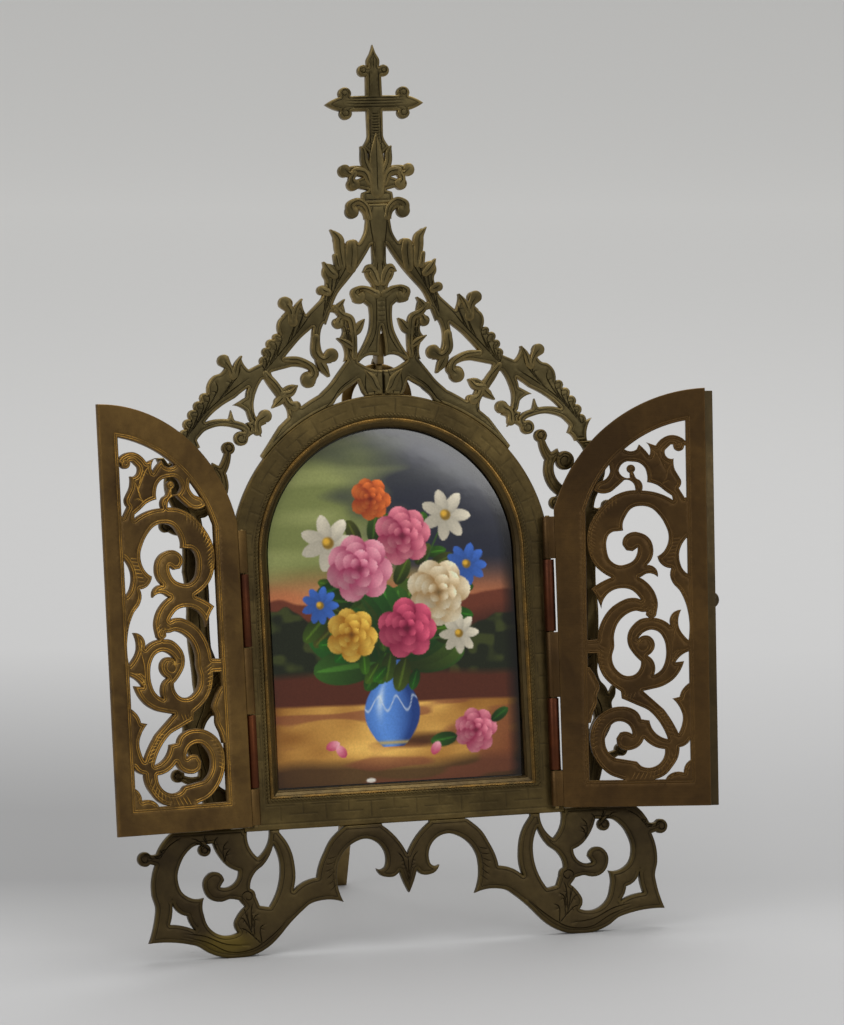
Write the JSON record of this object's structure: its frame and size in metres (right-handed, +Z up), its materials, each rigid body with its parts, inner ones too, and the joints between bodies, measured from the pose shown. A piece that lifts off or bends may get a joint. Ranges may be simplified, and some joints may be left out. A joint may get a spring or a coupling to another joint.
{
  "type": "brass table altar",
  "caption": "Standing brass devotional plaque with a pierced Gothic gable and cross, arched picture, two pierced hinged doors, scroll feet, a wall ring and a folding rear strut.",
  "frame": {"origin": "middle of the footprint's bounding box, on the surface that the altar stands on", "axes": "+Z up, +Y from the picture to the back along the floor, +X to the viewer's right facing the picture"},
  "size_m": [0.1922, 0.0928, 0.2674],
  "materials": {
    "patinated_brass": "dark olive-brown patina, worn brighter on edges",
    "door_brass": "warm brown patina with bright engraved lines",
    "bright_brass": "golden, lightly tarnished",
    "sheet_brass": "dull rolled sheet",
    "red_brass": "reddish brown patina",
    "glazed_porcelain": "painted and glazed, glossy",
    "card": "plain grey-brown card"
  },
  "bodies": {
    "altar_frame": {"arch_frame": "patinated_brass", "gable_crest": "patinated_brass", "cross_finial": "patinated_brass", "foot_scrollwork": "patinated_brass", "left_side_scroll": "patinated_brass", "right_side_scroll": "patinated_brass", "plaque_bezel": "bright_brass", "porcelain_plaque": "glazed_porcelain", "packing_card": "card", "back_cover": "sheet_brass", "left_frame_knuckles": "red_brass", "right_frame_knuckles": "red_brass", "left_hinge_pin": "sheet_brass", "right_hinge_pin": "sheet_brass", "ring_staple": "sheet_brass", "strut_bracket": "sheet_brass", "strut_pin": "sheet_brass"},
    "left_door": {"left_door_panel": "door_brass", "left_door_knuckles": "door_brass"},
    "right_door": {"right_door_panel": "door_brass", "right_door_knuckles": "door_brass", "door_astragal": "door_brass", "door_knob": "door_brass"},
    "wall_ring": {"hanging_ring": "bright_brass"},
    "strut": {"easel_strut": "sheet_brass"}
  },
  "joints": [
    {"name": "left_door_hinge", "type": "hinge", "parent": "altar_frame", "child": "left_door", "pos_m": [-0.05097, -0.02436, 0.0809], "axis": [0, 0.1846, 0.9828], "range_deg": [-15.5, 164.5]},
    {"name": "right_door_hinge", "type": "hinge", "parent": "altar_frame", "child": "right_door", "pos_m": [0.04386, -0.02436, 0.0809], "axis": [0.0192, 0.1846, 0.9826], "range_deg": [-167, 13]},
    {"name": "wall_ring_swing", "type": "hinge", "parent": "altar_frame", "child": "wall_ring", "pos_m": [-0.00397, 0.00151, 0.16985], "axis": [1, 0, 0], "range_deg": [-3, 100]},
    {"name": "strut_hinge", "type": "hinge", "parent": "altar_frame", "child": "strut", "pos_m": [-0.00397, 0.00065, 0.13928], "axis": [1, 0, 0], "range_deg": [-28, 0]}
  ]
}
